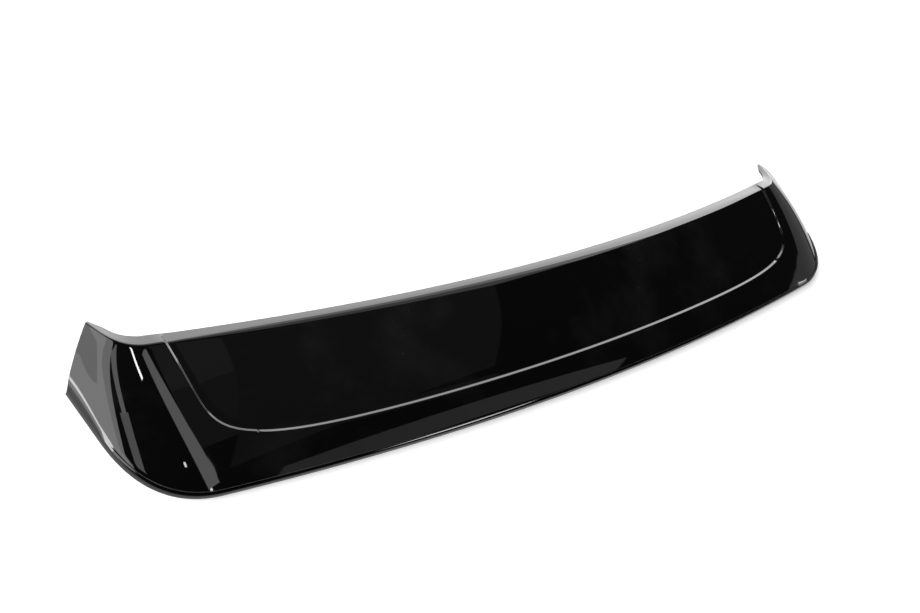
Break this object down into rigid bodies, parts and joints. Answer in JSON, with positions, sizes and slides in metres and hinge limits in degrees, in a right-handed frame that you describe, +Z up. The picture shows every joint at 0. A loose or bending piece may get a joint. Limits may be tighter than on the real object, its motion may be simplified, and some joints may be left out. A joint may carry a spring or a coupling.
{
  "type": "car spoiler",
  "caption": "Rear roof spoiler: one thin gloss black moulded shell with a crowned blade, recessed panel, swept side fins and a turned-down bonding flange.",
  "frame": {"origin": "centre of the footprint on the plane of the lower rim", "axes": "+X across the vehicle, +Y forward to the leading edge and fin tips, +Z up from the rim plane"},
  "size_m": [1.418, 0.264, 0.0587],
  "materials": {
    "gloss_black_paint": "gloss black clear-coated paint on ABS"
  },
  "bodies": {
    "root": {"spoiler_shell": "gloss_black_paint"}
  },
  "joints": []
}
